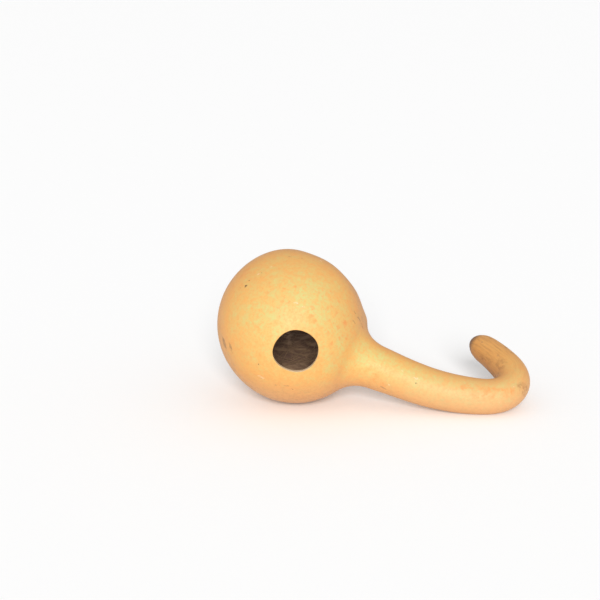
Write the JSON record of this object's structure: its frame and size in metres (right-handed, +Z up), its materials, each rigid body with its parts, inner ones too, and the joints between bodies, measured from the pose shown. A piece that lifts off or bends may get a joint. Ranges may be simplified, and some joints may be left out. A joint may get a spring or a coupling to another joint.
{
  "type": "bottle gourd",
  "caption": "Dried bottle gourd lying on its side: a hollow round bulb with a round hole cut in it, and a long neck that tapers into a hooked tip.",
  "frame": {"origin": "on the floor below the middle of the bulb, in the flat spot that the bulb rests on", "axes": "+X from the bulb along the neck, +Z up, and the hook turns towards +Y"},
  "size_m": [0.3014, 0.1642, 0.1482],
  "materials": {
    "skin": "smooth dried rind with a soft satin sheen"
  },
  "bodies": {
    "root": {"gourd": "skin"}
  },
  "joints": []
}
